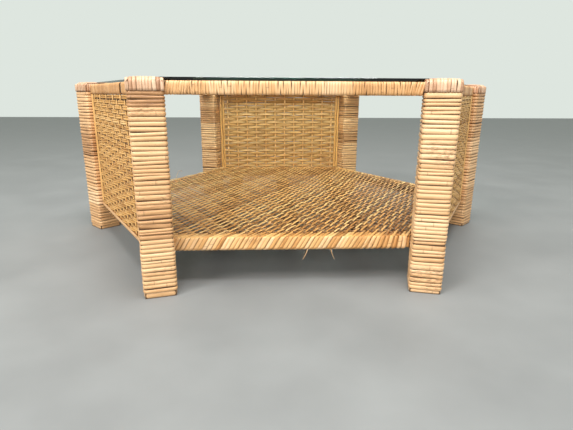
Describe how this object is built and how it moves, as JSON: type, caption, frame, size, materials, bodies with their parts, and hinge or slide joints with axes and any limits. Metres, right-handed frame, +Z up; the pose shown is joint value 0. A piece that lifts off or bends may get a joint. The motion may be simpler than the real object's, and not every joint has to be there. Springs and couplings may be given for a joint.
{
  "type": "wicker coffee table",
  "caption": "Six-sided rattan coffee table with strip-wrapped square legs, woven side panels, a woven lower shelf and a loose glass top.",
  "frame": {"origin": "on the floor under the middle of the table", "axes": "+Z up, -Y towards the open front, +X towards the right-hand leg seen from the front"},
  "size_m": [1.1076, 0.9592, 0.392],
  "materials": {
    "raw_wood": "unfinished softwood, hidden under the rattan",
    "leg_rattan": "split rattan strip with a worn satin skin and dark seams",
    "cap_rattan": "split rattan strip, rubbed and a little pink at the folds",
    "rail_rattan": "narrow split rattan strip with a satin skin",
    "shelf_rattan": "flat rattan strands, olive tan, satin",
    "panel_rattan": "woven rattan core, golden tan, satin",
    "stake_rattan": "rattan stake, golden tan",
    "bead_rattan": "smooth half-round rattan",
    "screw_steel": "zinc-plated steel",
    "clear_glass": "clear float glass with polished edges, green through the edge"
  },
  "bodies": {
    "frame": {"leg_post_right": "raw_wood", "leg_wrap_right": "leg_rattan", "leg_cap_right": "cap_rattan", "leg_post_back_right": "raw_wood", "leg_wrap_back_right": "leg_rattan", "leg_cap_back_right": "cap_rattan", "leg_post_back_left": "raw_wood", "leg_wrap_back_left": "leg_rattan", "leg_cap_back_left": "cap_rattan", "leg_post_left": "raw_wood", "leg_wrap_left": "leg_rattan", "leg_cap_left": "cap_rattan", "leg_post_front_left": "raw_wood", "leg_wrap_front_left": "leg_rattan", "leg_cap_front_left": "cap_rattan", "leg_post_front_right": "raw_wood", "leg_wrap_front_right": "leg_rattan", "leg_cap_front_right": "cap_rattan", "top_rail_right_back": "raw_wood", "rail_wrap_right_back": "rail_rattan", "shelf_rail_right_back": "raw_wood", "shelf_edge_right_back": "shelf_rattan", "top_rail_back": "raw_wood", "rail_wrap_back": "rail_rattan", "shelf_rail_back": "raw_wood", "shelf_edge_back": "shelf_rattan", "top_rail_left_back": "raw_wood", "rail_wrap_left_back": "rail_rattan", "shelf_rail_left_back": "raw_wood", "shelf_edge_left_back": "shelf_rattan", "top_rail_left_front": "raw_wood", "rail_wrap_left_front": "rail_rattan", "shelf_rail_left_front": "raw_wood", "shelf_edge_left_front": "shelf_rattan", "top_rail_front": "raw_wood", "rail_wrap_front": "rail_rattan", "shelf_rail_front": "raw_wood", "shelf_edge_front": "shelf_rattan", "top_rail_right_front": "raw_wood", "rail_wrap_right_front": "rail_rattan", "shelf_rail_right_front": "raw_wood", "shelf_edge_right_front": "shelf_rattan", "shelf_mat": "shelf_rattan", "shelf_slats": "raw_wood", "panel_weave_back": "panel_rattan", "panel_stakes_back": "stake_rattan", "panel_rod_back": "rail_rattan", "panel_beads_back": "bead_rattan", "panel_weave_left_front": "panel_rattan", "panel_stakes_left_front": "stake_rattan", "panel_rod_left_front": "rail_rattan", "panel_beads_left_front": "bead_rattan", "panel_weave_right_front": "panel_rattan", "panel_stakes_right_front": "stake_rattan", "panel_rod_right_front": "rail_rattan", "panel_beads_right_front": "bead_rattan", "rail_dowels": "raw_wood", "shelf_screws": "screw_steel"},
    "glass": {"glass_top": "clear_glass"}
  },
  "joints": [
    {"name": "glass_lift", "type": "slide", "parent": "frame", "child": "glass", "axis": [0, 0, 1], "range_m": [0, 0.06]}
  ]
}
